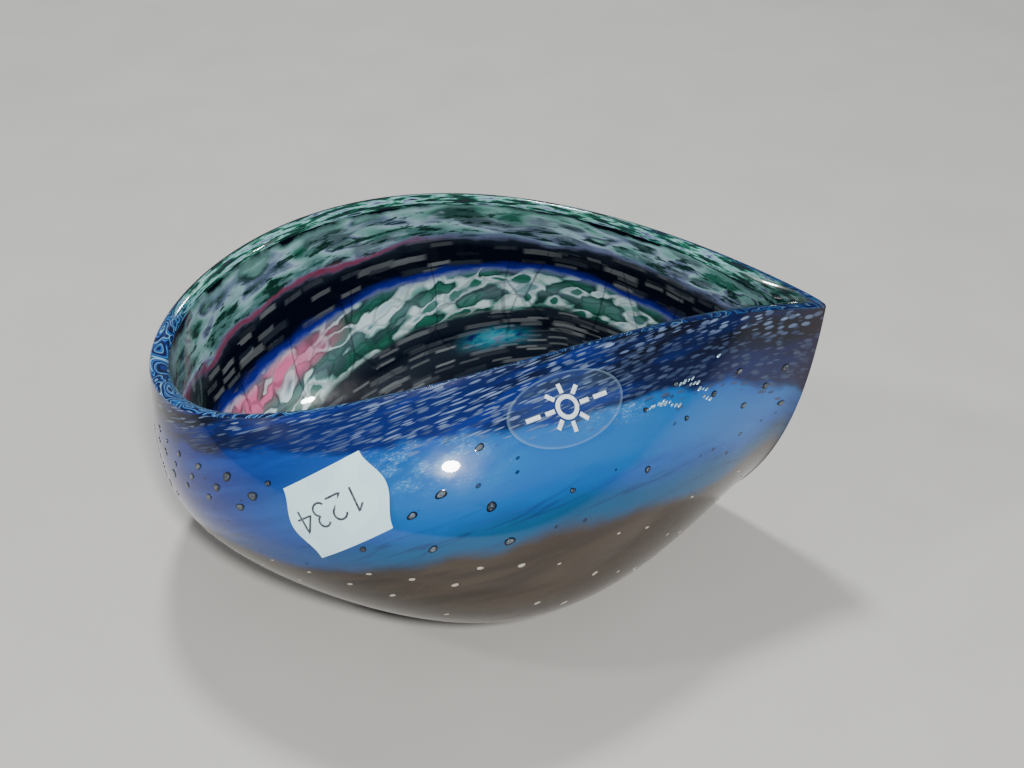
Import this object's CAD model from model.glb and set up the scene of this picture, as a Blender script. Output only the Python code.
"""The looks of a free-form art glass bowl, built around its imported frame.

The bowl is one blown form with a teardrop mouth. Every visible layer is a surface of the same
closed formula that its solid uses, worked out here on a fine grid. Lengths are in millimetres
until a mesh is made, and in metres from there on.
"""

import logging
import math
from dataclasses import dataclass, field
from enum import Enum
from typing import Callable, Sequence

import bpy
import numpy as np
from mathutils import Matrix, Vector


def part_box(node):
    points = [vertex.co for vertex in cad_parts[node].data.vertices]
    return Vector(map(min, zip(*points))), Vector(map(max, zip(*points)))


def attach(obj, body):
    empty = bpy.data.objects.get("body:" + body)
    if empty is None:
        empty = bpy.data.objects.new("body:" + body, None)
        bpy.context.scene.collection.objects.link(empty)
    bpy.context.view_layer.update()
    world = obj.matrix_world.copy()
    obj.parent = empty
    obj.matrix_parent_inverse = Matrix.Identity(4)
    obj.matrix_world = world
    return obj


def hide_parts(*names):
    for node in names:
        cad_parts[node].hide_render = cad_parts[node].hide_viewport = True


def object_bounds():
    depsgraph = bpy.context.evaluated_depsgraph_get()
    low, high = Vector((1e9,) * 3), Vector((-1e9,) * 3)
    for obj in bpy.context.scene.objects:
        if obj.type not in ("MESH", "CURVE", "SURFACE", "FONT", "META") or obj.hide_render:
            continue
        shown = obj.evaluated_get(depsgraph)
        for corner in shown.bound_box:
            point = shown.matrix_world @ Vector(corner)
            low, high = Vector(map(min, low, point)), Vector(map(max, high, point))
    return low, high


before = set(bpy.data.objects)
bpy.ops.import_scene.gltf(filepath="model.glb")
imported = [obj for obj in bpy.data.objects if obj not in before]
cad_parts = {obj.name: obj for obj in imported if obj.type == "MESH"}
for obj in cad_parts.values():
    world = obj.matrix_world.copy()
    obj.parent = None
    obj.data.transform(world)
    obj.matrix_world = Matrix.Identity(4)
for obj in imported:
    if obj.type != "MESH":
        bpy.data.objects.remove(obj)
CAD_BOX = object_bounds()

LOG = logging.getLogger("bowl")
MM = 0.001
GOLDEN = 0.618034
PLASTIC = 0.754878
Array = np.ndarray
Triple = tuple[float, float, float]
Colour = Triple


def bezier(a: float, b: float, c: float, d: float, s: Array) -> Array:
    """A cubic curve from a to d with handles b and c, at share s."""
    return a * (1 - s) ** 3 + 3 * b * s * (1 - s) ** 2 + 3 * c * s * s * (1 - s) + d * s**3


def slope(a: float, b: float, c: float, d: float, s: Array) -> Array:
    """The slope of the cubic curve from a to d with handles b and c, at share s."""
    return 3 * (b - a) * (1 - s) ** 2 + 6 * (c - b) * s * (1 - s) + 3 * (d - c) * s * s


def scatter(count: int, step: float) -> Array:
    """Evenly scattered shares from 0 to 1: the fractions of the multiples of one step."""
    return np.modf(np.arange(1, count + 1) * step)[0]


@dataclass(frozen=True)
class Profile:
    """One quarter's curve from the foot to the rim, in millimetres.

    spread is how far the flat underside runs, belly how far the wall swells, turn the height
    at which it turns up or folds in, reach and rim where it ends.
    """

    spread: float
    belly: float
    turn: float
    reach: float
    rim: float

    def at(self, v: Array, foot: tuple[float, float], depth: Array) -> tuple[Array, Array]:
        """Distance out and height at height share v, moved depth into the glass.

        The curve starts at the foot's edge. Its normal is its slope turned by a right angle,
        and the point moves along that.

        Args:
            v: Share of the way up, 0 at the foot and 1 at the rim.
            foot: The foot's radius and height.
            depth: Distance into the glass.

        Returns:
            The distance out and the height.
        """
        radius, height = foot
        out, up = slope(radius, self.spread, self.belly, self.reach, v), slope(
            height, height, self.turn, self.rim, v)
        length = np.hypot(out, up)
        return (bezier(radius, self.spread, self.belly, self.reach, v) - depth * up / length,
                bezier(height, height, self.turn, self.rim, v) + depth * out / length)


@dataclass(frozen=True)
class BowlForm:
    """The shape of the whole wall, as a function of the way around and the way up."""

    foot: tuple[float, float]
    lip_h: float
    tip: Profile = Profile(49, 69.5, 2, 72.5, 59.5)
    far: Profile = Profile(72, 80, 1.5, 77, 49.5)
    front: Profile = Profile(77, 63, 56.5, 41.5, 64.3)
    back: Profile = Profile(14.5, 53.5, 11, 35.5, 71.7)
    lean: tuple[float, float] = (7, 3)
    pinch: float = 1.78
    tip_fill: float = 3.4
    wall: float = 3.4
    round_wall: float = 4.2
    outer_t: float = 0.6
    inner_t: float = 0.6
    lip_skin: float = 0.5
    inset: float = 0.05
    navy_edge: float = 0.85
    navy_lift: float = 0.08
    blue_edge: float = 0.58
    blue_lift: float = 0.08
    widest_up: float = 0.85
    step: float = 0.01
    eye_back: float = 0.6
    eye_front: float = 0.15
    map_unit: float = 100

    def skin(self, t: Array, v: Array, depth: Array | float = 0.0) -> Array:
        """Points of the wall.

        The four quarter profiles are blended by the cosine and sine of the angle t. The mouth
        narrows to a point at t = 0 by a power of (1 - cos t) / 2 that grows with v squared,
        and the middle leans off the foot within the flat underside.

        Args:
            t: Angle around the bowl, in radians, 0 at the pinched end.
            v: Share of the way up the wall.
            depth: Distance into the glass, in millimetres.

        Returns:
            The points, with one more axis of length 3.
        """
        t, v, depth = np.broadcast_arrays(t, v, depth)
        c, s = np.cos(t), np.sin(t)
        xt, _ = self.tip.at(v, self.foot, depth * (1 + (self.tip_fill - 1) * v * v))
        _, zt = self.tip.at(v, self.foot, depth)
        xf, zf = self.far.at(v, self.foot, depth)
        yf, zr = self.front.at(v, self.foot, depth)
        yb, zb = self.back.at(v, self.foot, depth)
        sharp = self.pinch * v * v
        widest = 2 * ((sharp + 1) / (sharp + 2)) ** ((sharp + 1) / 2) / np.sqrt(sharp + 2)
        lean = 1 - (1 - v) ** 6
        x = self.lean[0] * lean + (xf + (xt - xf) * (1 + c) / 2) * c
        narrow = np.clip((1 - c) / 2, 1e-12, 1) ** (sharp / 2)
        y = self.lean[1] * lean + (yf + (yb - yf) * (1 + s) / 2) * s * narrow / widest
        z = ((zt + zf + zr + zb) / 4 + (zt - zf) / 2 * c + (zb - zr) / 2 * s
             + (zt + zf - zb - zr) / 4 * np.cos(2 * t))
        return np.stack([x, y, z], -1)

    def thick(self, t: Array) -> Array:
        """Thickness of the whole wall, thicker towards the round end."""
        return self.wall + (self.round_wall - self.wall) * ((1 - np.cos(t)) / 2) ** 2

    def depth(self, layer: int, t: Array) -> Array:
        """Depth of a layer's face: 0 outside, 1 and 2 the core's two faces, 3 inside.

        The smooth outside lies a little deeper than the solid's, to stay inside its facets.
        """
        full = self.thick(t)
        return (0 * full + self.inset, 0 * full + self.outer_t, full - self.inner_t, full)[layer]

    def navy_from(self, t: Array) -> Array:
        """Share of the way up at which the navy band starts."""
        return self.navy_edge + self.navy_lift * np.cos(t) ** 2

    def blue_from(self, t: Array) -> Array:
        """Share of the way up at which the blue starts."""
        return self.blue_edge + self.blue_lift * np.cos(t) ** 2

    def lip(self, t: Array, share: Array, layers: tuple[int, int], height: float) -> Array:
        """Points over the lip: half of an ellipse from one layer's rim to another's.

        Args:
            t: Angle around the bowl.
            share: 0 at the first layer and 1 at the second.
            layers: The two layers.
            height: How high the ellipse stands along the wall.

        Returns:
            The points.
        """
        a = self.skin(t, np.ones_like(t), self.depth(layers[0], t))
        b = self.skin(t, np.ones_like(t), self.depth(layers[1], t))
        along = a - self.skin(t, 0.98 * np.ones_like(t), self.depth(layers[0], t))
        along /= np.linalg.norm(along, axis=-1, keepdims=True)
        turn = (share * math.pi)[..., None]
        return a + (b - a) * (1 - np.cos(turn)) / 2 + along * height * np.sin(turn)

    def sheet(self, at: Array, up: Array, turn: float, a: Array, b: Array, h: Array) -> Array:
        """Points of something stuck on the wall.

        The wall's two directions at the place at, up carry the millimetres a along and b up,
        turned by turn, into a change of angle and of height share.

        Args:
            at: Angle of the place around the bowl.
            up: Its share of the way up.
            turn: Tilt along the wall, in radians.
            a: Millimetres along.
            b: Millimetres up.
            h: Height above the glass.

        Returns:
            The points, and the angle and height share of each.
        """
        step = self.step
        et = (self.skin(at + step, up) - self.skin(at - step, up)) / (2 * step)
        ev = (self.skin(at, up + step) - self.skin(at, up - step)) / (2 * step)
        lt, lv = np.linalg.norm(et, axis=-1), np.linalg.norm(ev, axis=-1)
        lean = (et * ev).sum(-1) / lt / lv
        square = np.sqrt(1 - lean * lean)
        x = a * math.cos(turn) - b * math.sin(turn)
        y = a * math.sin(turn) + b * math.cos(turn)
        t, v = at + (x - y * lean / square) / lt, up + y / square / lv
        return self.skin(t, v, -h), t, v

    def pattern(self, t: Array, v: Array) -> tuple[Array, Array]:
        """Pattern coordinates of places on the wall, in units of 100 mm and shares.

        The first pair is the distance around, measured at the wall's widest, and the distance
        down from the rim. The second pair is the nested band that the place lies in, which is
        the height share with the bands' eye moved to the back of the floor, and the way
        around.

        Args:
            t: Angle around the bowl, from 0 to 2 pi.
            v: Share of the way up.

        Returns:
            The two coordinate pairs.
        """
        steps = np.linspace(0, 2 * math.pi, 721)
        ring = self.skin(steps, np.full_like(steps, self.widest_up))
        run = np.concatenate([[0], np.cumsum(np.linalg.norm(np.diff(ring, axis=0), axis=1))])
        rise = np.linspace(0, 1.1, 221)
        line = self.skin(np.full_like(rise, 1.5 * math.pi), rise)
        up = np.concatenate([[0], np.cumsum(np.linalg.norm(np.diff(line, axis=0), axis=1))])
        around = np.interp(t, steps, run)
        down = np.interp(1.0, rise, up) - np.interp(v, rise, up)
        shift = np.maximum(-self.eye_front, -self.eye_back * np.cos(t))
        band = 1 - (1 - v) * (1 - shift)
        return (np.stack([around, down], -1) / self.map_unit,
                np.stack([band, t / (2 * math.pi)], -1))


@dataclass
class MeshData:
    """Points, faces and pattern coordinates of a mesh that is being put together."""

    points: list[Array] = field(default_factory=list)
    faces: list[Array] = field(default_factory=list)
    maps: dict[str, list[Array]] = field(default_factory=dict)
    count: int = 0

    def add(self, points: Array, faces: Array, **maps: Array) -> None:
        """Adds points, four-sided faces that count from 0, and one value pair per corner."""
        self.points.append(points.reshape(-1, 3))
        self.faces.append(faces + self.count)
        self.count += points.reshape(-1, 3).shape[0]
        for name, values in maps.items():
            self.maps.setdefault(name, []).append(values.reshape(-1, 2))

    def build(self, name: str, crease: float = 50.0) -> bpy.types.Object:
        """Makes the object, smooth but for creases sharper than the given angle."""
        points = np.concatenate(self.points) * MM
        faces = np.concatenate(self.faces)
        mesh = bpy.data.meshes.new(name)
        mesh.vertices.add(len(points))
        mesh.vertices.foreach_set("co", points.ravel())
        mesh.loops.add(faces.size)
        mesh.loops.foreach_set("vertex_index", faces.ravel().astype(np.int32))
        mesh.polygons.add(len(faces))
        mesh.polygons.foreach_set("loop_start", np.arange(len(faces), dtype=np.int32) * 4)
        mesh.polygons.foreach_set("loop_total", np.full(len(faces), 4, dtype=np.int32))
        for key, values in self.maps.items():
            layer = mesh.uv_layers.new(name=key)
            layer.data.foreach_set("uv", np.concatenate(values).ravel())
        mesh.update(calc_edges=True)
        mesh.validate()
        mesh.shade_smooth()
        mesh.set_sharp_from_angle(angle=math.radians(crease))
        obj = bpy.data.objects.new(name, mesh)
        bpy.context.collection.objects.link(obj)
        return obj


def grid_faces(rows: int, columns: int, closed: bool = False, looped: bool = False) -> Array:
    """Corner numbers of a grid's cells, row by row, each turning the same way.

    Args:
        rows: Number of rows of points.
        columns: Number of points in a row.
        closed: Whether the last column joins the first.
        looped: Whether the last row joins the first.

    Returns:
        An array of four corners per cell.
    """
    i = np.arange(rows if looped else rows - 1)[:, None]
    j = np.arange(columns if closed else columns - 1)[None, :]
    here, up = i * columns, (i + 1) % rows * columns
    right = (j + 1) % columns
    return np.stack(np.broadcast_arrays(here + j, here + right, up + right, up + j),
                    -1).reshape(-1, 4)


def corner_values(values: Array, looped: bool = False) -> Array:
    """One value pair per cell corner, from an array that holds the closing column too."""
    rows = np.concatenate([values, values[:1]]) if looped else values
    return np.stack([rows[:-1, :-1], rows[:-1, 1:], rows[1:, 1:], rows[1:, :-1]], 2)


def slab(data: MeshData, top: Array, bottom: Array, **maps: Array) -> None:
    """Adds a thin solid between two grids of points with the same rows and columns.

    The two grids and a strip around their edges are closed into one surface by running each
    row over the top and back along the bottom, with the ends closed by strips of no width.

    Args:
        data: The mesh that it joins.
        top: Grid of the upper points.
        bottom: Grid of the lower points.
        maps: Value pairs on the top grid, used on the bottom too.
    """
    loop = np.concatenate([top, bottom[:, ::-1]], 1)
    middle = (loop[:1] + loop[:1, ::-1]) / 2
    last = (loop[-1:] + loop[-1:, ::-1]) / 2
    rings = np.concatenate([middle, loop, last])
    faces = grid_faces(rings.shape[0], rings.shape[1], closed=True)[:, ::-1]
    corner = {}
    for name, values in maps.items():
        both = np.concatenate([values, values[:, ::-1]], 1)
        full = np.concatenate([both[:1], both, both[-1:]])
        full = np.concatenate([full, full[:, :1]], 1)
        corner[name] = corner_values(full)[:, :, ::-1]
    data.add(rings, faces, **corner)


class Tone(Enum):
    """The glassmaker's colours, as linear light."""

    NAVY = (0.002, 0.006, 0.040)
    NIGHT = (0.0015, 0.003, 0.010)
    DEEP = (0.004, 0.022, 0.085)
    INK = (0.012, 0.018, 0.030)
    LILAC = (0.20, 0.28, 0.46)
    SLATE = (0.018, 0.034, 0.085)
    DUSK = (0.045, 0.068, 0.135)
    COBALT = (0.003, 0.020, 0.200)
    ROYAL = (0.008, 0.060, 0.340)
    CERULEAN = (0.006, 0.095, 0.360)
    SKY = (0.030, 0.230, 0.580)
    ICE = (0.22, 0.50, 0.68)
    TEAL = (0.004, 0.075, 0.160)
    SMOKE = (0.052, 0.039, 0.027)
    SMOKE_LIGHT = (0.090, 0.072, 0.054)
    SMOKE_DARK = (0.026, 0.019, 0.014)
    MAUVE = (0.062, 0.045, 0.034)
    SILVER = (0.46, 0.70, 0.88)
    CREAM = (0.46, 0.41, 0.31)
    GREEN = (0.012, 0.130, 0.085)
    GREEN_DARK = (0.004, 0.030, 0.022)
    MINT = (0.22, 0.50, 0.46)
    WHITE = (0.72, 0.93, 0.97)
    PEARL = (0.42, 0.62, 0.75)
    TURQUOISE = (0.04, 0.42, 0.55)
    LAVENDER = (0.18, 0.22, 0.40)
    CRIMSON = (0.26, 0.012, 0.050)
    PINK = (0.75, 0.17, 0.36)
    ULTRAMARINE = (0.010, 0.014, 0.260)
    GREY = (0.13, 0.16, 0.18)
    ASH = (0.15, 0.17, 0.18)
    BROWN = (0.028, 0.017, 0.024)


def plain(value: object) -> object:
    """A tone's colour, or any other value as it is."""
    return value.value if isinstance(value, Tone) else value


class Graph:
    """A material's node tree, grown one node at a time around a Principled shader."""

    def __init__(self, name: str) -> None:
        """Makes the material with its shader and output."""
        self.material = bpy.data.materials.new(name)
        self.material.use_nodes = True
        self.tree = self.material.node_tree
        self.tree.nodes.clear()
        output = self.tree.nodes.new("ShaderNodeOutputMaterial")
        self.shader = self.tree.nodes.new("ShaderNodeBsdfPrincipled")
        self.tree.links.new(self.shader.outputs[0], output.inputs[0])

    def node(self, kind: str, **settings: object) -> bpy.types.Node:
        """Adds a node of the given kind and sets its properties."""
        made = self.tree.nodes.new("ShaderNode" + kind)
        for key, value in settings.items():
            setattr(made, key, value)
        return made

    def put(self, target: bpy.types.NodeSocket, value: object) -> None:
        """Links a socket to an output, or sets its value."""
        value = plain(value)
        if isinstance(value, bpy.types.NodeSocket):
            self.tree.links.new(value, target)
        elif isinstance(value, tuple) and len(value) == 3 and target.type == "RGBA":
            target.default_value = (*value, 1.0)
        else:
            target.default_value = value

    def set(self, **values: object) -> None:
        """Sets or links the shader's sockets, named with underscores for spaces."""
        for key, value in values.items():
            self.put(self.shader.inputs[key.replace("_", " ")], value)

    def math(self, operation: str, a: object, b: object = 0.0, c: object = 0.0) -> object:
        """The result of a Math node."""
        made = self.node("Math", operation=operation)
        for target, value in zip(made.inputs, (a, b, c)):
            self.put(target, value)
        return made.outputs[0]

    def times(self, a: object, b: object) -> object:
        """The product of two values."""
        return self.math("MULTIPLY", a, b)

    def ease(self, value: object, low: float, high: float, start: float = 0.0,
             end: float = 1.0) -> object:
        """A smooth step from start to end as the value goes from low to high."""
        made = self.node("MapRange", interpolation_type="SMOOTHSTEP")
        for target, item in zip(made.inputs, (value, low, high, start, end)):
            self.put(target, item)
        return made.outputs[0]

    def band(self, value: object, low: float, high: float, soft: float) -> object:
        """1 between low and high, with soft edges."""
        rise = self.ease(value, low - soft, low + soft)
        fall = self.ease(value, high - soft, high + soft, 1.0, 0.0)
        return self.times(rise, fall)

    def map(self, name: str) -> object:
        """A pattern coordinate map of the piece."""
        return self.node("UVMap", uv_map=name).outputs[0]

    def place(self) -> object:
        """The object coordinates."""
        return self.node("TexCoord").outputs["Object"]

    def split(self, vector: object) -> tuple[object, object, object]:
        """The three parts of a vector."""
        made = self.node("SeparateXYZ")
        self.put(made.inputs[0], vector)
        return made.outputs[0], made.outputs[1], made.outputs[2]

    def join(self, x: object, y: object, z: object = 0.0) -> object:
        """A vector of three parts."""
        made = self.node("CombineXYZ")
        for target, value in zip(made.inputs, (x, y, z)):
            self.put(target, value)
        return made.outputs[0]

    def stretch(self, vector: object, scale: Triple, turn: float = 0.0) -> object:
        """A vector turned about Z, then scaled."""
        turned = self.node("Mapping")
        self.put(turned.inputs[0], vector)
        turned.inputs["Rotation"].default_value = (0, 0, turn)
        sized = self.node("Mapping")
        self.put(sized.inputs[0], turned.outputs[0])
        sized.inputs["Scale"].default_value = scale
        return sized.outputs[0]

    def noise(self, vector: object, scale: float, detail: float = 2.0, rough: float = 0.5,
              distort: float = 0.0) -> object:
        """Smooth noise from 0 to 1."""
        made = self.node("TexNoise")
        self.put(made.inputs["Vector"], vector)
        for key, value in (("Scale", scale), ("Detail", detail), ("Roughness", rough),
                           ("Distortion", distort)):
            made.inputs[key].default_value = value
        return made.outputs[0]

    def cells(self, vector: object, scale: float, feature: str = "F1", random: float = 1.0,
              metric: str = "EUCLIDEAN") -> tuple[object, object]:
        """Distance and random colour of scattered cells."""
        made = self.node("TexVoronoi", feature=feature)
        if feature != "DISTANCE_TO_EDGE":
            made.distance = metric
        self.put(made.inputs["Vector"], vector)
        made.inputs["Scale"].default_value = scale
        made.inputs["Randomness"].default_value = random
        return made.outputs["Distance"], made.outputs.get("Color")

    def blend(self, share: object, a: object, b: object) -> object:
        """A mix of two colours."""
        made = self.node("Mix", data_type="RGBA")
        self.put(made.inputs[0], share)
        self.put(made.inputs[6], a)
        self.put(made.inputs[7], b)
        return made.outputs[2]

    def ramp(self, value: object, stops: Sequence[tuple[float, Colour]]) -> object:
        """A colour ramp through the stops."""
        made = self.node("ValToRGB")
        self.put(made.inputs[0], value)
        line = made.color_ramp
        while len(line.elements) > 1:
            line.elements.remove(line.elements[-1])
        line.elements[0].position, line.elements[0].color = stops[0][0], (*plain(stops[0][1]), 1)
        for where, colour in stops[1:]:
            line.elements.new(where).color = (*plain(colour), 1)
        return made.outputs[0]

    def warp(self, vector: object, by: float, scale: float) -> object:
        """A vector pushed about by noise."""
        made = self.node("TexNoise")
        self.put(made.inputs["Vector"], vector)
        made.inputs["Scale"].default_value = scale
        centred = self.node("VectorMath", operation="SUBTRACT")
        self.put(centred.inputs[0], made.outputs[1])
        centred.inputs[1].default_value = (0.5, 0.5, 0.5)
        scaled = self.node("VectorMath", operation="SCALE")
        self.put(scaled.inputs[0], centred.outputs[0])
        scaled.inputs["Scale"].default_value = by
        total = self.node("VectorMath", operation="ADD")
        self.put(total.inputs[0], vector)
        self.put(total.inputs[1], scaled.outputs[0])
        return total.outputs[0]

    def bump(self, height: object, strength: float, distance: float = 0.0001) -> None:
        """Gives the shader a bump from a height."""
        made = self.node("Bump")
        made.inputs["Strength"].default_value = strength
        made.inputs["Distance"].default_value = distance
        self.put(made.inputs["Height"], height)
        self.put(self.shader.inputs["Normal"], made.outputs[0])

    def glaze(self, rough: tuple[float, float], scale: float = 60.0) -> None:
        """A clear glossy surface: uneven roughness under a coat of clear glass."""
        grain = self.noise(self.place(), scale, 3.0)
        self.set(Roughness=self.ease(grain, 0.3, 0.7, *rough), IOR=1.5, Coat_Weight=0.75,
                 Coat_Roughness=0.03, Coat_IOR=1.5, Specular_IOR_Level=0.12)


@dataclass(frozen=True)
class OuterGlass:
    """The outer colours: a navy band with pale dashes, streaked blue and a smoky base."""

    name: str
    film: bool = False
    girth: float = 3.83

    def dress(self) -> bpy.types.Material:
        """Makes the material.

        The distance down from the rim, pushed about by noise, picks the colour. The dashes
        are stretched cells, and the streaks are stretched noise. The same edges run around
        both walls, because the distance around is folded over at the round end.
        """
        g = Graph(self.name)
        wall = g.map("wall")
        around, down, _ = g.split(wall)
        far = g.math("MAXIMUM", around, g.math("SUBTRACT", self.girth, around))
        drift = g.math("SUBTRACT", g.noise(g.stretch(wall, (1, 2.2, 1)), 5.0, 3.0, 0.55), 0.5)
        streak = g.noise(g.stretch(wall, (1.0, 7.0, 1), 0.14), 3.2, 4.0, 0.6, 0.3)
        fine = g.noise(g.stretch(wall, (1.0, 3.0, 1), 0.14), 42.0, 4.0, 0.75)
        edge = g.math("ADD", g.ease(far, 1.95, 2.5, 0.265, 0.372), g.ease(far, 2.7, 3.2, 0, -0.02))
        edge = g.math("ADD", edge, g.ease(far, 3.62, 3.82, 0, -0.11))
        low = g.math("SUBTRACT", g.math("ADD", down, g.times(drift, 0.07)), edge)
        colour = self.blue(g, far, low, streak, fine)
        colour = self.creases(g, wall, low, colour)
        colour = g.blend(g.ease(low, -0.016, 0.030), colour, self.smoke(g, far, streak, fine))
        colour = self.specks(g, wall, low, colour)
        colour = self.sheen(g, wall, around, down, colour)
        colour = self.band(g, wall, far, down, drift, streak, colour)
        ends = g.math("MAXIMUM", g.ease(far, 3.70, 3.83), g.ease(far, 2.12, 1.92))
        colour = g.blend(g.times(ends, 0.55), colour, Tone.BROWN)
        if self.film:
            colour = self.outline(g, colour)
        g.set(Base_Color=colour)
        g.glaze((0.20, 0.32))
        g.bump(g.noise(wall, 14.0, 2.0), 0.12 if self.film else 0.22, 0.0006)
        return g.material

    @staticmethod
    def outline(g: Graph, colour: object) -> object:
        """The clear film's faint veil and its slightly paler edge."""
        a, b, _ = g.split(g.map("sheet"))
        out = g.math("SQRT", g.math("ADD", g.times(a, a), g.times(b, b)))
        veil = g.ease(out, 0.465, 0.49, 0.03, 0.15)
        return g.blend(veil, colour, Tone.SILVER)

    @staticmethod
    def blue(g: Graph, far: object, low: object, streak: object, fine: object) -> object:
        """Cobalt at the round end to cerulean at the pinched end, with teal low down."""
        x, _, _ = g.split(g.place())
        out = g.blend(g.ease(x, -0.060, 0.010), Tone.COBALT, Tone.CERULEAN)
        out = g.blend(g.ease(streak, 0.44, 0.64, 0.0, 0.6), out, Tone.ROYAL)
        light = g.times(g.band(low, -0.20, -0.09, 0.05), g.ease(far, 2.3, 2.7))
        out = g.blend(g.times(light, 0.35), out, Tone.SKY)
        teal = g.times(g.ease(low, -0.085, -0.02), g.ease(far, 2.4, 2.8, 0.3, 0.85))
        out = g.blend(teal, out, Tone.TEAL)
        return g.blend(g.ease(fine, 0.62, 0.82, 0.0, 0.25), out, Tone.SKY)

    @staticmethod
    def smoke(g: Graph, far: object, streak: object, fine: object) -> object:
        """The grey-brown base, clouded and faintly grained."""
        out = g.blend(g.ease(streak, 0.35, 0.65), Tone.SMOKE_DARK, Tone.SMOKE)
        out = g.blend(g.ease(far, 2.6, 3.5, 0.0, 0.5), out, Tone.MAUVE)
        return g.blend(g.ease(fine, 0.60, 0.80, 0.0, 0.45), out, Tone.SMOKE_LIGHT)

    @staticmethod
    def creases(g: Graph, wall: object, low: object, colour: object) -> object:
        """Soft dark wisps where the colours were folded together, low on the blue."""
        fold = g.noise(g.stretch(wall, (0.55, 5.5, 1), 0.20), 3.4, 4.0, 0.5, 0.4)
        line = g.band(fold, 0.485, 0.51, 0.022)
        where = g.band(low, -0.075, -0.005, 0.03)
        return g.blend(g.times(g.times(line, where), 0.65), colour,
                       Tone.DEEP)

    @staticmethod
    def specks(g: Graph, wall: object, low: object, colour: object) -> object:
        """Small dark specks in the blue, a few of them with a pale middle."""
        distance, random = g.cells(g.stretch(wall, (0.8, 1.15, 1), 0.35), 30.0)
        pick, size, _ = g.split(random)
        reach = g.times(size, 0.17)
        dark = g.times(g.math("LESS_THAN", distance, reach), g.ease(pick, 0.42, 0.46))
        where = g.ease(low, -0.01, 0.03, 1.0, 0.0)
        out = g.blend(g.times(g.times(dark, where), 0.8), colour,
                      Tone.NIGHT)
        middle = g.math("LESS_THAN", distance, g.times(size, 0.075))
        middle = g.times(g.times(middle, where), g.ease(pick, 0.62, 0.66))
        return g.blend(g.times(middle, 0.8), out, Tone.GREY)

    @staticmethod
    def sheen(g: Graph, wall: object, around: object, down: object, colour: object) -> object:
        """Silvery iridescent washes below the band on the front wall."""
        near = g.times(g.band(around, 2.68, 2.93, 0.10), g.band(down, 0.10, 0.21, 0.05))
        right = g.times(g.band(around, 3.10, 3.30, 0.06), g.band(down, 0.10, 0.17, 0.025))
        grain = g.noise(g.stretch(wall, (1.0, 2.4, 1), 0.2), 110.0, 3.0, 0.8)
        cloud = g.ease(g.noise(g.stretch(wall, (1.0, 2.0, 1), 0.2), 16.0, 3.0, 0.6), 0.42, 0.62)
        share = g.times(g.math("MAXIMUM", near, right), cloud)
        out = g.blend(g.times(share, 0.45), colour, Tone.SKY)
        return g.blend(g.times(share, g.ease(grain, 0.50, 0.66, 0.0, 0.55)), out,
                       Tone.SILVER)

    @staticmethod
    def band(g: Graph, wall: object, far: object, down: object, drift: object, streak: object,
             colour: object) -> object:
        """The navy band and its pale dashes, which lie along the rim in three sizes.

        The band's lower edge wanders with noise. Its dashes are fine lines at the round end
        and short strokes at the pinched end, and the largest hang over the edge.
        """
        wide = g.math("ADD", g.ease(far, 2.1, 3.1, 0.062, 0.142), g.ease(far, 3.3, 3.82, 0, -0.015))
        rest = g.math("SUBTRACT", g.math("ADD", down, g.times(drift, 0.10)), wide)
        dark = g.blend(g.ease(g.math("DIVIDE", down, wide), 0.2, 0.8), Tone.NIGHT,
                       Tone.NAVY)
        middle = g.band(far, 2.45, 2.95, 0.15)
        tint = g.times(g.ease(streak, 0.42, 0.66), g.ease(far, 3.2, 3.4, 0.8, 0.25))
        dark = g.blend(g.math("MAXIMUM", tint, g.times(middle, 0.45)), dark,
                       Tone.COBALT)
        out = g.blend(g.ease(rest, -0.012, 0.010, 1.0, 0.0), colour, dark)
        left = g.ease(far, 2.75, 2.45)
        right = g.ease(far, 3.05, 3.40)
        rest_of = g.math("SUBTRACT", 1.0, g.math("MAXIMUM", left, right))
        spread = g.warp(wall, 0.008, 8.0)
        lit = g.math("MAXIMUM", g.times(rest_of, 0.9), g.ease(down, 0.05, 0.01))
        bright = g.blend(lit, Tone.DUSK, Tone.LILAC)
        for scale, thin, keep, over, zone in (
                (15.0, 15.0, 0.25, -0.016, left), (18.0, 9.5, 0.15, 0.004, rest_of),
                (26.0, 4.6, 0.22, 0.010, right), (30.0, 7.0, 0.50, -0.002, 0.8),
                (30.0, 3.6, 0.68, 0.030, g.ease(far, 2.6, 2.9))):
            distance, random = g.cells(g.stretch(spread, (1, thin, 1), 0.15), scale)
            pick, tone, _ = g.split(random)
            mark = g.times(g.ease(distance, 0.26, 0.46, 1.0, 0.0),
                          g.ease(pick, keep, keep + 0.05))
            mark = g.times(mark, g.ease(rest, over, over + 0.014, 1.0, 0.0))
            pale = g.blend(tone, Tone.SLATE, bright)
            out = g.blend(g.times(mark, g.times(zone, 0.9)), out, pale)
        return out


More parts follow.
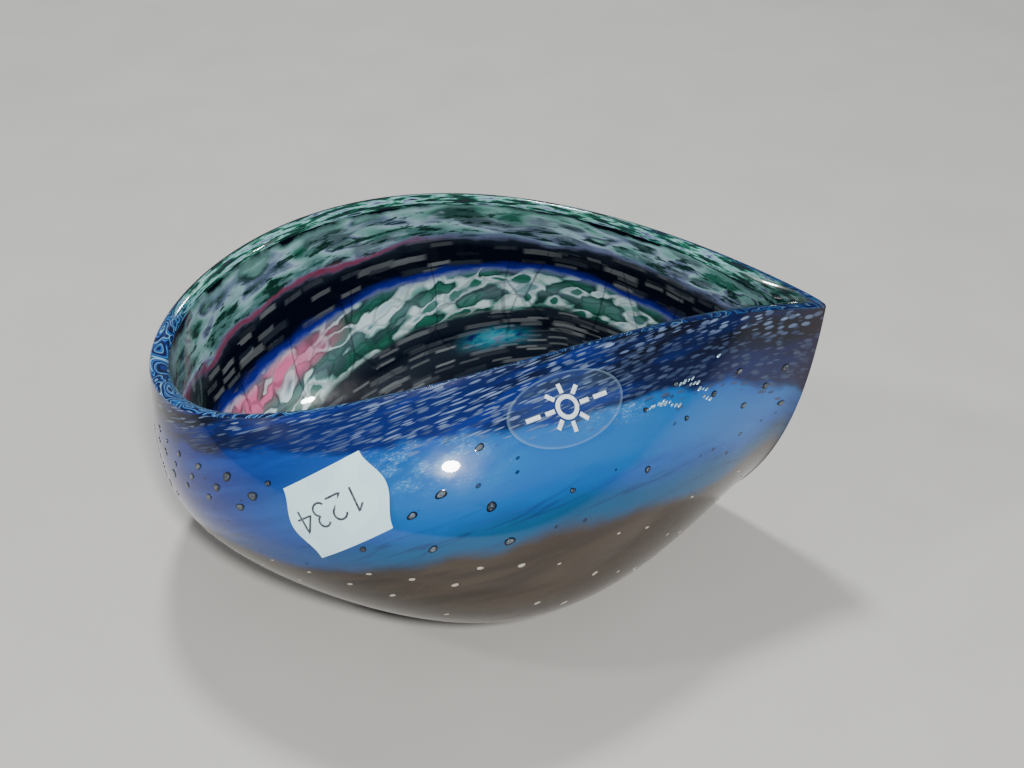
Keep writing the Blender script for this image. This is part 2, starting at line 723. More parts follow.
@dataclass(frozen=True)
class InnerGlass:
    """The inner colours: nested bands of mottled green, white, pink and black."""

    name: str

    def dress(self) -> bpy.types.Material:
        """Makes the material.

        The nested band, pushed about by noise, picks the base colour from a ramp. Blurred
        cells and rows of dashes lie along the bands.
        """
        g = Graph(self.name)
        colour = self.bands(g, *self.places(g))
        g.set(Base_Color=colour)
        g.glaze((0.20, 0.34))
        g.bump(g.noise(g.map("wall"), 12.0, 2.0), 0.22, 0.0006)
        return g.material

    @staticmethod
    def places(g: Graph) -> tuple[object, object, object]:
        """The place along the bands in even units, the pushed band share and the way around."""
        band, turn, _ = g.split(g.map("bands"))
        along = g.join(g.times(turn, 3.2), band)
        slow = g.noise(g.stretch(along, (2.0, 5.0, 1)), 2.0, 3.0, 0.55)
        fine = g.noise(g.stretch(along, (1.0, 3.5, 1)), 15.0, 3.0, 0.6)
        push = g.math("ADD", g.times(g.math("SUBTRACT", slow, 0.5), 0.055),
                      g.times(g.math("SUBTRACT", fine, 0.5), 0.022))
        q = g.math("ADD", band, push)
        under = g.math("MAXIMUM", g.math("SUBTRACT", 0.865, q), 0.0)
        wide = g.band(turn, 0.35, 0.50, 0.06)
        return along, g.math("ADD", q, g.times(under, g.times(wide, 0.45))), turn

    @classmethod
    def bands(cls, g: Graph, along: object, q: object, turn: object) -> object:
        """The whole pattern, from the eye on the floor out to the rim."""
        night, deep, pearl = Tone.NIGHT, Tone.INK, Tone.PEARL
        base = g.ramp(q, (
            (0.00, night), (0.60, night), (0.70, deep), (0.735, night), (0.775, deep),
            (0.795, Tone.GREEN), (0.825, pearl),
            (0.85, Tone.GREEN), (0.868, Tone.LAVENDER),
            (0.878, Tone.ULTRAMARINE), (0.893, night), (0.925, night), (0.938, deep),
            (0.950, Tone.LAVENDER), (0.965, pearl), (0.978, Tone.GREEN),
            (0.992, Tone.MINT), (1.0, night)))
        out = cls.streaks(g, along, q, base)
        out = cls.blotches(g, along, q, turn, out)
        out = cls.dashes(g, along, q, out)
        left = g.band(turn, 0.30, 0.47, 0.03)
        red = g.times(g.band(q, 0.942, 0.948, 0.004), left)
        out = g.blend(g.times(red, 0.8), out, Tone.CRIMSON)
        pinch = g.math("MAXIMUM", g.ease(turn, 0.15, 0.04), g.ease(turn, 0.85, 0.96))
        out = g.blend(g.times(pinch, 0.65), out, night)
        eye = g.times(g.band(turn, 0.238, 0.266, 0.016), g.band(q, 0.68, 0.725, 0.022))
        cloud = g.noise(g.stretch(along, (1.0, 2.0, 1), 0.3), 26.0, 3.0, 0.6)
        patch = g.ramp(cloud, ((0.34, Tone.ULTRAMARINE), (0.48, Tone.TURQUOISE),
                               (0.66, Tone.LAVENDER)))
        out = g.blend(g.times(eye, 0.7), out, patch)
        line, _ = g.cells(g.stretch(g.warp(along, 0.05, 6.0), (1.0, 0.35, 1)), 9.0,
                          "DISTANCE_TO_EDGE")
        cracks = g.times(g.ease(line, 0.008, 0.020, 0.45, 0.0), g.band(q, 0.70, 0.93, 0.03))
        return g.blend(cracks, out, night)

    @staticmethod
    def streaks(g: Graph, along: object, q: object, base: object) -> object:
        """Long blurred streaks of green, white and lavender in the band below the rim."""
        place = g.stretch(g.warp(along, 0.02, 12.0), (1, 5.0, 1))
        _, random = g.cells(place, 13.0, "SMOOTH_F1")
        pick, shade, _ = g.split(random)
        tone = g.ramp(pick, ((0.25, Tone.GREEN), (0.38, Tone.MINT),
                             (0.50, Tone.PEARL), (0.58, Tone.LAVENDER),
                             (0.68, Tone.INK), (0.78, Tone.MINT)))
        tone = g.blend(g.ease(shade, 0.52, 0.72, 0.0, 0.8), tone, Tone.INK)
        out = g.blend(g.times(g.band(q, 0.950, 0.994, 0.006), 0.8), base, tone)
        thread = g.noise(g.stretch(along, (1, 7.0, 1), 0.02), 16.0, 3.0, 0.65)
        light = g.times(g.band(q, 0.950, 0.994, 0.006), g.ease(thread, 0.54, 0.66))
        dark = g.times(g.band(q, 0.945, 0.990, 0.006), g.ease(thread, 0.48, 0.40))
        out = g.blend(g.times(light, 0.45), out, Tone.PEARL)
        return g.blend(g.times(dark, 0.95), out, Tone.GREEN_DARK)

    @staticmethod
    def blotches(g: Graph, along: object, q: object, turn: object, base: object) -> object:
        """Irregular blotches of white, green and pink in the band around the eye."""
        place = g.stretch(g.warp(g.warp(along, 0.05, 10.0), 0.02, 34.0), (1.2, 2.4, 1), 0.25)
        _, random = g.cells(place, 19.0, "SMOOTH_F1")
        pick, shade, _ = g.split(random)
        tone = g.ramp(pick, ((0.22, Tone.GREEN), (0.36, Tone.INK),
                             (0.42, Tone.MINT), (0.48, Tone.WHITE),
                             (0.62, Tone.WHITE), (0.70, Tone.PEARL),
                             (0.78, Tone.GREEN)))
        where = g.band(q, 0.785, 0.868, 0.010)
        out = g.blend(g.times(where, 0.8), base, tone)
        rosy = g.times(g.band(turn, 0.36, 0.47, 0.03), g.band(q, 0.835, 0.866, 0.010))
        out = g.blend(g.times(rosy, g.ease(shade, 0.3, 0.5, 0.3, 1.0)), out,
                      Tone.PINK)
        line, _ = g.cells(place, 19.0, "DISTANCE_TO_EDGE")
        gap = g.times(g.ease(line, 0.01, 0.14, 0.4, 0.0), where)
        return g.blend(gap, out, Tone.GREEN_DARK)

    @staticmethod
    def dashes(g: Graph, along: object, q: object, colour: object) -> object:
        """Rows of silvery dashes, like laid bricks, along the dark bands."""
        out = colour
        dark = g.math("MAXIMUM", g.band(q, 0.888, 0.940, 0.006), g.band(q, 0.58, 0.782, 0.015))
        for scale, thin, keep in ((10.0, 6.5, 0.20), (17.0, 6.0, 0.40)):
            place = g.stretch(g.warp(along, 0.006, 20.0), (1, thin, 1))
            distance, random = g.cells(place, scale, random=0.7, metric="CHEBYCHEV")
            pick, tone, _ = g.split(random)
            mark = g.times(g.ease(distance, 0.26, 0.40, 1.0, 0.0),
                          g.ease(pick, keep, keep + 0.08))
            pale = g.blend(tone, Tone.INK, Tone.ASH)
            out = g.blend(g.times(g.times(mark, dark), 0.9), out, pale)
        return out


@dataclass(frozen=True)
class LipGlass:
    """The lip's wrap: agate lines of blue, cyan and black along the rim."""

    name: str

    def dress(self) -> bpy.types.Material:
        """Makes the material.

        The lines are the contours of a smooth stretched noise. The back of the rim is nearly
        black, and the inner half of the lip takes dark inner colours at the pinched end.
        """
        g = Graph(self.name)
        around, over, _ = g.split(g.map("lip"))
        x, y, _ = g.split(g.place())
        across = g.join(g.times(around, 0.55), g.times(over, 0.055))
        contour = g.noise(across, 16.0, 1.5, 0.45, 1.2)
        wave = g.math("FRACT", g.times(contour, 9.0))
        front = g.ramp(wave, (
            (0.0, Tone.NIGHT), (0.16, Tone.NAVY), (0.30, Tone.COBALT),
            (0.42, Tone.SKY), (0.50, Tone.NIGHT), (0.62, Tone.ROYAL),
            (0.72, Tone.ICE), (0.80, Tone.NIGHT), (0.90, Tone.COBALT),
            (1.0, Tone.NIGHT)))
        front = g.blend(g.ease(x, -0.045, 0.0, 0.0, 0.7), front, Tone.NAVY)
        back = g.ramp(wave, (
            (0.0, Tone.NIGHT), (0.55, Tone.NIGHT), (0.75, Tone.GREEN_DARK),
            (0.9, Tone.INK), (1.0, Tone.NIGHT)))
        thread = g.noise(g.join(around, g.times(over, 0.5)), 14.0, 3.0, 0.6)
        inner = g.ramp(thread, ((0.34, Tone.INK), (0.44, Tone.GREEN_DARK),
                                (0.50, Tone.GREEN), (0.56, Tone.MINT),
                                (0.62, Tone.LAVENDER), (0.68, Tone.INK)))
        back = g.blend(g.times(g.ease(over, 0.32, 0.42), g.ease(y, 0.0, 0.01)), back,
                       inner)
        behind = g.math("MAXIMUM", g.ease(y, 0.006, 0.020),
                        g.times(g.ease(x, 0.02, 0.05), g.ease(over, 0.30, 0.5)))
        g.set(Base_Color=g.blend(behind, front, back))
        g.glaze((0.18, 0.30), 90.0)
        g.bump(g.noise(g.place(), 160.0, 2.0), 0.2, 0.0004)
        return g.material


@dataclass(frozen=True)
class InlayGlass:
    """A fused inlay: a pale middle and a darker edge, each piece a little different."""

    name: str
    middle: Colour
    edge: Colour
    ring: tuple[float, float]
    metal: float = 0.0

    def dress(self) -> bpy.types.Material:
        """Makes the material: the share of the way out picks the middle or the edge."""
        g = Graph(self.name)
        out, pick, _ = g.split(g.map("inlay"))
        middle = g.blend(g.ease(pick, 0.2, 0.9, 0.0, 0.7), self.middle, self.edge)
        speck = g.noise(g.place(), 2500.0, 2.0)
        middle = g.blend(g.ease(speck, 0.45, 0.7, 0.0, 0.25), middle, Tone.SILVER)
        colour = g.blend(g.ease(out, *self.ring), middle, self.edge)
        g.set(Base_Color=colour, Metallic=self.metal)
        g.glaze((0.18, 0.34), 900.0)
        g.bump(speck, 0.1, 0.0001)
        return g.material


@dataclass(frozen=True)
class PolishedGlass:
    """The ground foot: dark glass with fine turning marks."""

    name: str

    def dress(self) -> bpy.types.Material:
        """Makes the material: rings about the foot's axis, with a brushed roughness."""
        g = Graph(self.name)
        x, y, _ = g.split(g.place())
        far = g.math("SQRT", g.math("ADD", g.times(x, x), g.times(y, y)))
        marks = g.noise(g.join(far, 0.0), 2600.0, 2.0)
        cloud = g.noise(g.place(), 90.0, 3.0)
        g.set(Base_Color=g.blend(cloud, (0.02, 0.022, 0.03), (0.06, 0.055, 0.055)),
              Roughness=g.ease(marks, 0.3, 0.7, 0.12, 0.3), IOR=1.5, Coat_Weight=0.5,
              Coat_Roughness=0.08)
        g.bump(marks, 0.15, 0.00005)
        return g.material


@dataclass(frozen=True)
class Paper:
    """The price label's paper: cool white, with a faint tinted print of plain shapes."""

    name: str

    def dress(self) -> bpy.types.Material:
        """Makes the material: fibre noise under faint broad shapes."""
        g = Graph(self.name)
        sheet = g.map("sheet")
        fibre = g.noise(g.place(), 3500.0, 4.0, 0.7)
        shape = g.ease(g.noise(g.stretch(sheet, (1.2, 0.7, 1), 0.9), 3.0, 0.0), 0.52, 0.54)
        tint = g.blend(g.times(shape, 0.55), (0.66, 0.94, 1.00), (0.56, 0.80, 0.90))
        tint = g.blend(g.ease(fibre, 0.3, 0.8, 0.0, 0.12), tint, (0.42, 0.55, 0.60))
        g.set(Base_Color=tint, Roughness=g.ease(fibre, 0.3, 0.7, 0.55, 0.72),
              Specular_IOR_Level=0.3)
        g.bump(fibre, 0.2, 0.00006)
        return g.material


@dataclass(frozen=True)
class Ink:
    """Print or pen ink, uneven in strength."""

    name: str
    full: Colour
    thin: Colour
    rough: tuple[float, float]

    def dress(self) -> bpy.types.Material:
        """Makes the material: noise thins the ink in places."""
        g = Graph(self.name)
        patch = g.noise(g.place(), 1400.0, 3.0, 0.6)
        g.set(Base_Color=g.blend(g.ease(patch, 0.35, 0.75), self.full, self.thin),
              Roughness=g.ease(patch, 0.3, 0.7, *self.rough), Specular_IOR_Level=0.4)
        g.bump(patch, 0.15, 0.00004)
        return g.material


@dataclass
class GlassBody:
    """The blown wall: three outer colours, the lip's wrap, the inner colour and the foot."""

    form: BowlForm
    around: int = 384
    base_rows: int = 84
    blue_rows: int = 44
    navy_rows: int = 30
    back_rows: int = 10
    inner_rows: tuple[int, int] = (24, 140)
    lip_rows: tuple[int, int] = (15, 9)
    middle_rings: tuple[float, ...] = (0.002, 0.35, 0.7)
    foot_round: float = 0.35

    def angles(self) -> Array:
        """The angles around the bowl, with the closing one at the end."""
        return np.linspace(0, 2 * math.pi, self.around + 1)

    def rows(self, low: Callable, high: Callable, count: int, layer: int) -> tuple:
        """Rows of points from one height share to another on one layer's face.

        Args:
            low: Height share of the first row, as a function of the angle.
            high: Height share of the last row.
            count: Number of steps.
            layer: The layer's face.

        Returns:
            The points and the two coordinate pairs, each with the closing column.
        """
        t = self.angles()[None, :]
        share = np.linspace(0, 1, count + 1)[:, None]
        v = low(t) + (high(t) - low(t)) * share
        t = np.broadcast_to(t, v.shape)
        points = self.form.skin(t, v, self.form.depth(layer, t))
        return points, *self.form.pattern(t, v)

    def hoop(self, name: str, low: Callable, high: Callable, count: int) -> bpy.types.Object:
        """One outer colour between two heights, closed along the core's face behind it."""
        face = self.rows(low, high, count, 0)
        back = self.rows(high, low, self.back_rows, 1)
        points, wall, bands = (np.concatenate([a, b]) for a, b in zip(face, back))
        data = MeshData()
        data.add(points[:, :-1], grid_faces(len(points), self.around, True, True),
                 wall=corner_values(wall, True), bands=corner_values(bands, True))
        return data.build(name)

    def cup(self, name: str, low_layer: int, high_layer: int, top: Callable, counts:
            tuple[int, int]) -> bpy.types.Object:
        """A colour that runs under or over the middle of the bowl, closed at both ends.

        The rows end at the foot's edge, and flat rings close each end to its middle.

        Args:
            name: The piece's name.
            low_layer: The face that is further out.
            high_layer: The face that is further in.
            top: Height share at which it ends.
            counts: Steps up the first face and down the second.

        Returns:
            The object.
        """
        first = self.rows(lambda t: 0 * t, top, counts[0], low_layer)
        second = self.rows(top, lambda t: 0 * t, counts[1], high_layer)
        points, wall, bands = (np.concatenate([a, b]) for a, b in zip(first, second))
        shares = np.array(self.middle_rings)[:, None, None]
        rings = len(self.middle_rings)

        def close(edge: Array) -> Array:
            """Flat rings from the middle out to the edge."""
            middle = edge.mean(0, keepdims=True)[None]
            return middle + (edge[None] - middle) * shares

        points = np.concatenate([close(points[0]), points, close(points[-1])[::-1]])
        wall = np.concatenate([wall[:1]] * rings + [wall] + [wall[-1:]] * rings)
        bands = np.concatenate([bands[:1]] * rings + [bands] + [bands[-1:]] * rings)
        data = MeshData()
        data.add(points[:, :-1], grid_faces(len(points), self.around, True),
                 wall=corner_values(wall), bands=corner_values(bands))
        return data.build(name)

    def lip(self, name: str) -> bpy.types.Object:
        """The wrap over the lip: an outer half ellipse and the core's one under it."""
        t = self.angles()
        over, under = (np.linspace(0, 1, self.lip_rows[0]), np.linspace(1, 0, self.lip_rows[1]))
        rings = []
        for shares, layers, height in (
                (over, (0, 3), self.form.lip_h - 2.4 * self.form.inset),
                (under, (1, 2), self.form.lip_h - self.form.lip_skin)):
            grid, share = np.broadcast_arrays(t[None, :], shares[:, None])
            rings.append(self.form.lip(grid, share, layers, height))
        points = np.concatenate(rings)
        around = self.form.pattern(t, np.ones_like(t))[0][..., 0]
        both = np.concatenate([over, under])
        coords = np.stack(np.broadcast_arrays(around[None, :], both[:, None]), -1)
        data = MeshData()
        data.add(points[:, :-1], grid_faces(len(points), self.around, True, True),
                 lip=corner_values(coords, True))
        return data.build(name, 60.0)

    def foot(self, name: str) -> bpy.types.Object:
        """The ground foot: a profile with rounded edges, turned about the bowl's axis."""
        radius, height = self.form.foot
        turn = np.linspace(0, math.pi / 2, 7)
        edge = self.foot_round
        low = np.stack([radius - edge + edge * np.sin(turn), edge - edge * np.cos(turn)], -1)
        profile = np.concatenate([[(0.01, 0.0), (radius * 0.5, 0.0)], low,
                                  [(radius, height), (radius * 0.5, height), (0.01, height)]])
        t = self.angles()[None, :-1]
        points = np.stack(np.broadcast_arrays(profile[:, :1] * np.cos(t),
                                              profile[:, :1] * np.sin(t), profile[:, 1:]), -1)
        data = MeshData()
        data.add(points, grid_faces(len(profile), self.around, True))
        return data.build(name, 40.0)

    def build(self) -> None:
        """Builds and dresses every piece of the wall."""
        form = self.form
        finish(self.cup("base_glass", 0, 1, form.blue_from, (self.base_rows, self.back_rows)),
               OuterGlass("smoky_glass"), "base_colour", "base_colour")
        finish(self.hoop("blue_glass", form.blue_from, form.navy_from, self.blue_rows),
               OuterGlass("blue_glass"), "blue_colour", "blue_colour")
        finish(self.hoop("navy_glass", form.navy_from, lambda t: 0 * t + 1, self.navy_rows),
               OuterGlass("navy_glass"), "navy_band", "navy_band")
        finish(self.cup("inner_glass", 2, 3, lambda t: 0 * t + 1, self.inner_rows),
               InnerGlass("inner_glass"), "inner_colour", "inner_colour")
        finish(self.lip("lip_glass"), LipGlass("lip_glass"), "lip_wrap", "lip_wrap")
        finish(self.foot("foot_glass"), PolishedGlass("foot_glass"), "polished_glass",
               "polished_foot")
        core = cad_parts["core_glass"]
        core.data.materials.clear()
        core.data.materials.append(PolishedGlass("core_glass").dress())


@dataclass
class Inlays:
    """Small pieces of glass and foil fused into the outer colours."""

    form: BowlForm
    cell_l: float = 2.6
    chip_l: float = 1.8
    fleck_l: float = 1.6
    stand: float = 0.07
    film_at: float = 281.6
    film_up: float = 0.856
    cell_turn: float = 20
    cell_slim: float = 0.7
    chip_slim: float = 0.4
    fleck_turn: float = 40
    fleck_slim: float = 0.35
    shares: tuple[float, ...] = (0.0, 0.35, 0.6, 0.8, 0.93, 1.0)

    def domes(self, name: str, at: Array, up: Array, turn: Array, length: Array,
              slim: float, sides: int) -> bpy.types.Object:
        """A group of low oval domes on the glass.

        Each dome's height falls from its middle with the square of the share of the way out,
        and a flat back closes it.

        Args:
            name: The group's name.
            at: Angle of each place around the bowl.
            up: Its share of the way up.
            turn: Tilt of each dome, in radians.
            length: Length of each dome.
            slim: Its width as a share of its length.
            sides: Number of sides of the oval.

        Returns:
            The object.
        """
        share = np.array(self.shares + (1.0, 0.002))[:, None]
        height = np.where(np.arange(len(share)) < len(self.shares),
                          self.stand * (1 - 0.5 * share[:, 0] ** 4), -0.06)[:, None]
        side = np.linspace(0, 2 * math.pi, sides + 1)[None, :]
        pick = scatter(len(at), GOLDEN * PLASTIC)
        data = MeshData()
        for k in range(len(at)):
            wobble = 1 + 0.10 * np.sin(2 * side + 6 * pick[k]) + 0.06 * np.sin(3 * side + k)
            a = np.maximum(share, 0.002) * np.cos(side) * length[k] / 2 * wobble
            b = np.maximum(share, 0.002) * np.sin(side) * length[k] / 2 * slim * wobble
            points = self.form.sheet(at[k], up[k], turn[k], a, b, height + 0 * a)[0]
            coords = np.stack(np.broadcast_arrays(share, pick[k] + 0 * side), -1)
            data.add(points[:, :-1], grid_faces(len(share), sides, True)[:, ::-1],
                     inlay=corner_values(coords)[:, :, ::-1])
        return data.build(name)

    def off_label(self, at: Array, up: Array, gap: Array) -> Array:
        """Whether places on the glass are at least gap away from the price label.

        Each place's offset from the label's middle is measured along the wall's two
        directions there, turned with the label.
        """
        label = Labels(self.form)
        t, v = math.radians(label.price_place[0]), label.price_place[1]
        skin = self.form.skin
        et = skin(t + 0.01, v) - skin(t - 0.01, v)
        ev = skin(t, v + 0.01) - skin(t, v - 0.01)
        along = et / np.linalg.norm(et)
        rise = ev - along * (ev @ along)
        offset = skin(at, up) - skin(t, v)
        x, y = offset @ along, offset @ (rise / np.linalg.norm(rise))
        turn = math.radians(label.price_place[2])
        a = x * math.cos(turn) + y * math.sin(turn)
        b = y * math.cos(turn) - x * math.sin(turn)
        length, width = label.price_size
        return (np.abs(a) > length / 2 + gap) | (np.abs(b) > width / 2 + gap)

    def cells(self, count: int = 76) -> bpy.types.Object:
        """Ring cells between the base and the band: every fourth is on the back."""
        n = np.arange(1, count + 1)
        share = scatter(count, GOLDEN)
        at = np.radians(np.where(n % 4 == 0, 20 + 160 * share, 192 + 150 * share**2.2))
        low, high = self.form.blue_from(at) + 0.02, self.form.navy_from(at)
        up = low + (high - low) * scatter(count, PLASTIC)
        size = self.cell_l * (0.5 + 0.5 * scatter(count, GOLDEN * PLASTIC))
        keep = self.off_label(at, up, size / 2)
        at, up, size = at[keep], up[keep], size[keep]
        return self.domes("ring_cells", at, up, np.full(len(at), math.radians(self.cell_turn)),
                          size, self.cell_slim, 20)

    def chips(self, count: int = 80) -> bpy.types.Object:
        """Pale frit chips in the base colour, thickest just under the blue."""
        at = np.radians(8 + 344 * scatter(count, GOLDEN))
        up = self.form.blue_from(at) - 0.03 - 0.2 * scatter(count, PLASTIC) ** 1.5
        turn = np.radians(30 * scatter(count, PLASTIC))
        size = self.chip_l * (0.4 + 0.6 * scatter(count, GOLDEN * PLASTIC))
        return self.domes("frit_chips", at, up, turn, size, self.chip_slim, 8)

    def flecks(self, count: int = 26) -> bpy.types.Object:
        """Foil flecks in a drift that climbs towards the pinched end."""
        along = scatter(count, GOLDEN)
        at = np.radians(self.film_at + 14 + 16 * along)
        up = self.film_up - 0.05 + 0.12 * scatter(count, PLASTIC) * along
        size = self.fleck_l * (0.4 + 0.6 * scatter(count, GOLDEN * PLASTIC))
        return self.domes("foil_flecks", at, up, np.full(count, math.radians(self.fleck_turn)),
                          size, self.fleck_slim, 6)

    def build(self) -> None:
        """Builds and dresses the three groups."""
        finish(self.cells(), InlayGlass("cell_glass", (0.075, 0.090, 0.110), (0.003, 0.004, 0.012),
                                        (0.56, 0.74)), "ring_cell", "ring_cells")
        finish(self.chips(), InlayGlass("frit_glass", Tone.CREAM, (0.40, 0.36, 0.30),
                                        (0.75, 1.0)), "frit", "frit_chips")
        finish(self.flecks(), InlayGlass("foil_leaf", Tone.WHITE, Tone.SILVER,
                                         (0.6, 1.0), 0.6), "foil", "foil_flecks")


@dataclass
class Labels:
    """The paper price label and the maker's clear film, with plain print on both."""

    form: BowlForm
    price_size: tuple[float, float] = (22, 16)
    price_bulge: float = 2.3
    price_t: float = 0.14
    price_lift: float = 0.7
    price_place: tuple[float, float, float] = (246, 0.745, 17)
    digit_h: float = 5
    film_size: tuple[float, float] = (27, 15)
    film_t: float = 0.06
    film_place: tuple[float, float, float] = (281.6, 0.856, 6)
    glue: float = 0.03
    ink_t: float = 0.05
    ink_w: float = 0.45
    print_w: float = 0.9

    def price_gap(self, b: Array) -> Array:
        """The gap under the price label, which lifts towards its lower edge."""
        return self.glue + self.price_lift * np.maximum(0, 0.5 - b / self.price_size[1]) ** 3

    def put(self, place: tuple[float, float, float], a: Array, b: Array, h: Array) -> tuple:
        """Points on the glass around a label's place, which is in degrees and shares."""
        at, turn = math.radians(place[0]), math.radians(place[2])
        return self.form.sheet(at, place[1], turn, a, b, h)

    def price_label(self) -> bpy.types.Object:
        """The paper: straight long edges, and ends that bulge as a sine squared."""
        length, width = self.price_size
        b = width * (0.5 - np.linspace(0, 1, 41))[:, None]
        half = length / 2 - self.price_bulge + self.price_bulge * np.cos(
            math.pi * b / width) ** 2
        a = half * np.linspace(-1, 1, 49)[None, :]
        b = b + 0 * a
        curl = self.price_gap(b)
        top = self.put(self.price_place, a, b, curl + self.price_t)[0]
        under = self.put(self.price_place, a, b, curl)[0]
        data = MeshData()
        slab(data, top, under, sheet=np.stack([a / length, b / length], -1))
        return data.build("price_paper")

    def film(self) -> bpy.types.Object:
        """The clear oval film, which takes the colours of the glass under it."""
        length, width = self.film_size
        share = np.linspace(0.03, 0.97, 33)[:, None]
        b = width / 2 * np.cos(math.pi * share)
        a = length / 2 * np.sin(math.pi * share) * np.linspace(-1, 1, 49)[None, :]
        b = b + 0 * a
        top, t, v = self.put(self.film_place, a, b, 0 * a + self.glue + self.film_t)
        under = self.put(self.film_place, a, b, 0 * a + self.glue)[0]
        wall, bands = self.form.pattern(t, v)
        data = MeshData()
        slab(data, top, under, wall=wall, bands=bands, sheet=np.stack([a / length, b / width], -1))
        return data.build("clear_film")

    def stroke(self, data: MeshData, path: Array, place: tuple[float, float, float],
               width: float, base: Callable) -> None:
        """Adds a stroke of ink along a path.

        Args:
            data: The mesh that it joins.
            path: Points of the path on the label, in millimetres.
            place: The label's place.
            width: Width of the stroke.
            base: Height of the label's face, as a function of the way up.
        """
        ends = np.concatenate([path[:1], path, path[-1:]])
        along = ends[2:] - ends[:-2]
        along /= np.linalg.norm(along, axis=1, keepdims=True)
        side = np.stack([-along[:, 1], along[:, 0]], -1) * width / 2
        across = path[:, None] + side[:, None] * np.linspace(-1, 1, 5)[None, :, None]
        a, b = across[..., 0], across[..., 1]
        crown = self.ink_t * (1 - 0.5 * np.linspace(-1, 1, 5)[None, :] ** 2)
        top = self.put(place, a, b, base(b) + crown)[0]
        under = self.put(place, a, b, base(b) - 0.01)[0]
        slab(data, top, under)

    def digits(self) -> bpy.types.Object:
        """The pen's digits from 1 to 4, upside down as the label was stuck on."""
        glyphs = (
            fine_line([(0.2, 0.75), (0.45, 1), (0.45, 0)]),
            np.concatenate([arc(0.4, 0.72, 0.28, 160, -35, 18), fine_line([(0.1, 0), (0.75, 0)])]),
            np.concatenate([arc(0.38, 0.76, 0.24, 150, -70, 16),
                            arc(0.38, 0.27, 0.27, 70, -150, 18)]),
            fine_line([(0.7, 0.35), (0.05, 0.35), (0.5, 1), (0.5, 0)]))
        data = MeshData()
        for k, glyph in enumerate(glyphs):
            path = np.stack([(1.6 - k) * 0.8 - glyph[:, 0], 0.5 - glyph[:, 1]], -1) * self.digit_h
            self.stroke(data, path, self.price_place, self.ink_w,
                        lambda b: self.price_gap(b) + self.price_t)
        return data.build("pen_digits")

    def mark(self) -> bpy.types.Object:
        """A plain rosette of eight rays around a ring, between two bars."""
        r = self.film_size[1] / 5
        paths = [arc(0, 0, r * 0.7, 22.5, 382.5, 41)]
        for k in range(8):
            way = np.array([math.cos(k * math.pi / 4), math.sin(k * math.pi / 4)]) * r
            paths.append(fine_line([way, way * 1.7]))
        for side in (-1, 1):
            start = r * 2.1
            paths.append(fine_line([(side * start, 0),
                                    (side * (start + self.film_size[0] * 0.12), 0)]))
        data = MeshData()
        for path in paths:
            self.stroke(data, path, self.film_place, self.print_w,
                        lambda b: 0 * b + self.glue + self.film_t)
        return data.build("plain_mark")

    def build(self) -> None:
        """Builds and dresses both labels."""
        finish(self.price_label(), Paper("label_paper"), "label_paper", "price_label")
        finish(self.digits(), Ink("pen_ink", (0.035, 0.045, 0.06), (0.12, 0.15, 0.18),
                                  (0.4, 0.6)), "label_ink", "price_digits")
        finish(self.film(), OuterGlass("clear_film", film=True), "clear_film", "maker_film")
        finish(self.mark(), Ink("screen_print", (0.80, 0.88, 0.92), (0.62, 0.72, 0.80),
                                (0.3, 0.45)), "white_print", "maker_print")


def arc(x: float, y: float, radius: float, start: float, end: float, steps: int) -> Array:
    """Points of an arc about x, y, from one angle to another in degrees."""
    turn = np.radians(np.linspace(start, end, steps))
    return np.stack([x + radius * np.cos(turn), y + radius * np.sin(turn)], -1)


def fine_line(corners: Sequence) -> Array:
    """Points along straight lines through the corners, eight to a line."""
    corners = np.array(corners, float)
    share = np.linspace(0, 1, 9)[:-1, None]
    parts = [a + (b - a) * share for a, b in zip(corners[:-1], corners[1:])]
    return np.concatenate(parts + [corners[-1:]])


def finish(piece: bpy.types.Object, look: object, slot: str, *nodes: str) -> None:
    """Dresses a piece, fixes it to the bowl and says which solids it stands for.

    Args:
        piece: The object.
        look: The finish that makes its material.
        slot: The record's material slot.
        nodes: The solids that it replaces.
    """
    piece.data.materials.append(look.dress())
    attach(piece, "root")
    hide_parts(*nodes)
    LOG.info("%s: %d faces, %s", piece.name, len(piece.data.polygons), slot)


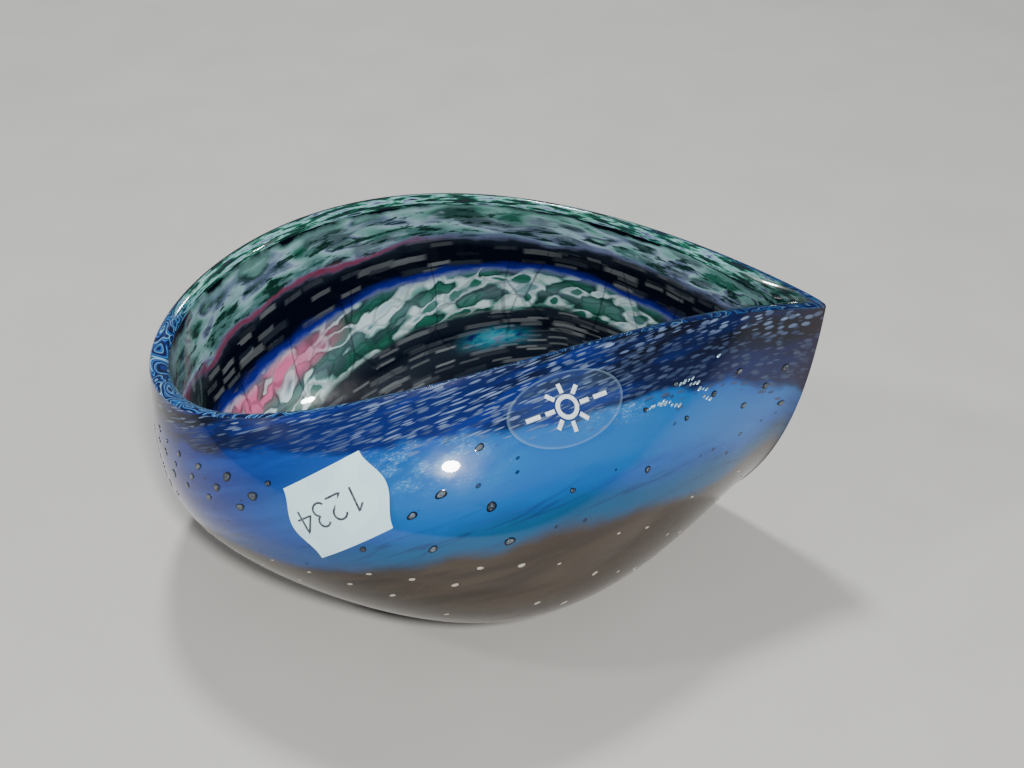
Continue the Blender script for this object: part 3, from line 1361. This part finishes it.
@dataclass(frozen=True)
class Studio:
    """The pale floor, the soft lights and the camera."""

    azimuth: float = 0.5
    elevation: float = 33.8
    distance: float = 345.7
    across: float = 3.4
    above: float = 32.1
    middle: tuple[float, float] = (7, 3)
    floor_rings: tuple[float, ...] = (0.01, 600, 2500, 9000)
    floor_sides: int = 64
    sky: float = 0.22

    def floor(self) -> None:
        """A pale round floor at the height that the bowl stands on."""
        radius = np.array(self.floor_rings)[:, None]
        t = np.linspace(0, 2 * math.pi, self.floor_sides + 1)[None, :-1]
        low = CAD_BOX[0][2] / MM
        points = np.stack(np.broadcast_arrays(radius * np.cos(t), radius * np.sin(t), low), -1)
        data = MeshData()
        data.add(points, grid_faces(len(radius), self.floor_sides, True))
        floor = data.build("floor")
        g = Graph("pale_floor")
        grain = g.noise(g.place(), 30.0, 4.0)
        g.set(Base_Color=g.blend(grain, (0.50, 0.49, 0.47), (0.55, 0.54, 0.52)),
              Roughness=g.ease(grain, 0.3, 0.7, 0.55, 0.65))
        floor.data.materials.append(g.material)

    def lamp(self, name: str, place: tuple[float, float, float], size: float, power: float,
             colour: Colour, aim: tuple[float, float, float] = (0, 0, 0.04)) -> None:
        """A soft round lamp, aimed at the bowl.

        Args:
            name: The lamp's name.
            place: Where it hangs, in metres.
            size: Its width, in metres.
            power: Its power, in watts.
            colour: Its colour.
            aim: The point that it faces.
        """
        light = bpy.data.lights.new(name, "AREA")
        light.shape, light.size, light.energy, light.color = "DISK", size, power, colour
        lamp = bpy.data.objects.new(name, light)
        lamp.location = place
        lamp.rotation_euler = (Vector(aim) - Vector(place)).to_track_quat("-Z", "Y").to_euler()
        bpy.context.collection.objects.link(lamp)

    def camera(self) -> None:
        """The camera, which looks down on the front wall without shift or roll."""
        a, e = math.radians(self.azimuth), math.radians(self.elevation)
        back = Vector((math.sin(a) * math.cos(e), -math.cos(a) * math.cos(e), math.sin(e)))
        right = Vector((math.cos(a), math.sin(a), 0))
        up = back.cross(right)
        place = Vector((*self.middle, 0)) + back * self.distance + right * self.across
        lens = bpy.data.cameras.new("camera")
        lens.lens, lens.sensor_width, lens.clip_start = 50, 36, 0.01
        camera = bpy.data.objects.new("camera", lens)
        camera.location = (place + up * self.above) * MM
        camera.rotation_euler = back.to_track_quat("Z", "Y").to_euler()
        bpy.context.collection.objects.link(camera)
        bpy.context.scene.camera = camera

    def build(self) -> None:
        """Sets the whole stage."""
        self.floor()
        self.camera()
        self.lamp("key_lamp", (0.19, -0.69, 0.66), 0.11, 10.0, (1.0, 0.98, 0.95))
        self.lamp("back_lamp", (-0.12, 0.50, 0.95), 0.14, 7.0, (0.96, 0.98, 1.0))
        self.lamp("side_lamp", (-0.95, -0.25, 0.75), 0.12, 3.5, (1.0, 0.98, 0.95))
        world = bpy.data.worlds.new("world")
        world.use_nodes = True
        back = world.node_tree.nodes["Background"]
        back.inputs[0].default_value = (0.86, 0.92, 1.0, 1)
        back.inputs[1].default_value = self.sky
        bpy.context.scene.world = world


def form_from_frame() -> BowlForm:
    """The bowl's form, with the foot and the lip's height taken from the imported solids."""
    foot_low, foot_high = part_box("polished_foot")
    radius, height = (foot_high[0] - foot_low[0]) / 2 / MM, foot_high[2] / MM
    return BowlForm(foot=(round(radius, 3), round(height, 3)), lip_h=1.5)


def main() -> None:
    """Builds the stage, the glass, the inlays and the labels."""
    logging.basicConfig(level=logging.INFO, format="%(name)s: %(message)s")
    Studio().build()
    form = form_from_frame()
    GlassBody(form).build()
    Inlays(form).build()
    Labels(form).build()
    bpy.context.view_layer.update()


if __name__ == "__main__":
    main()
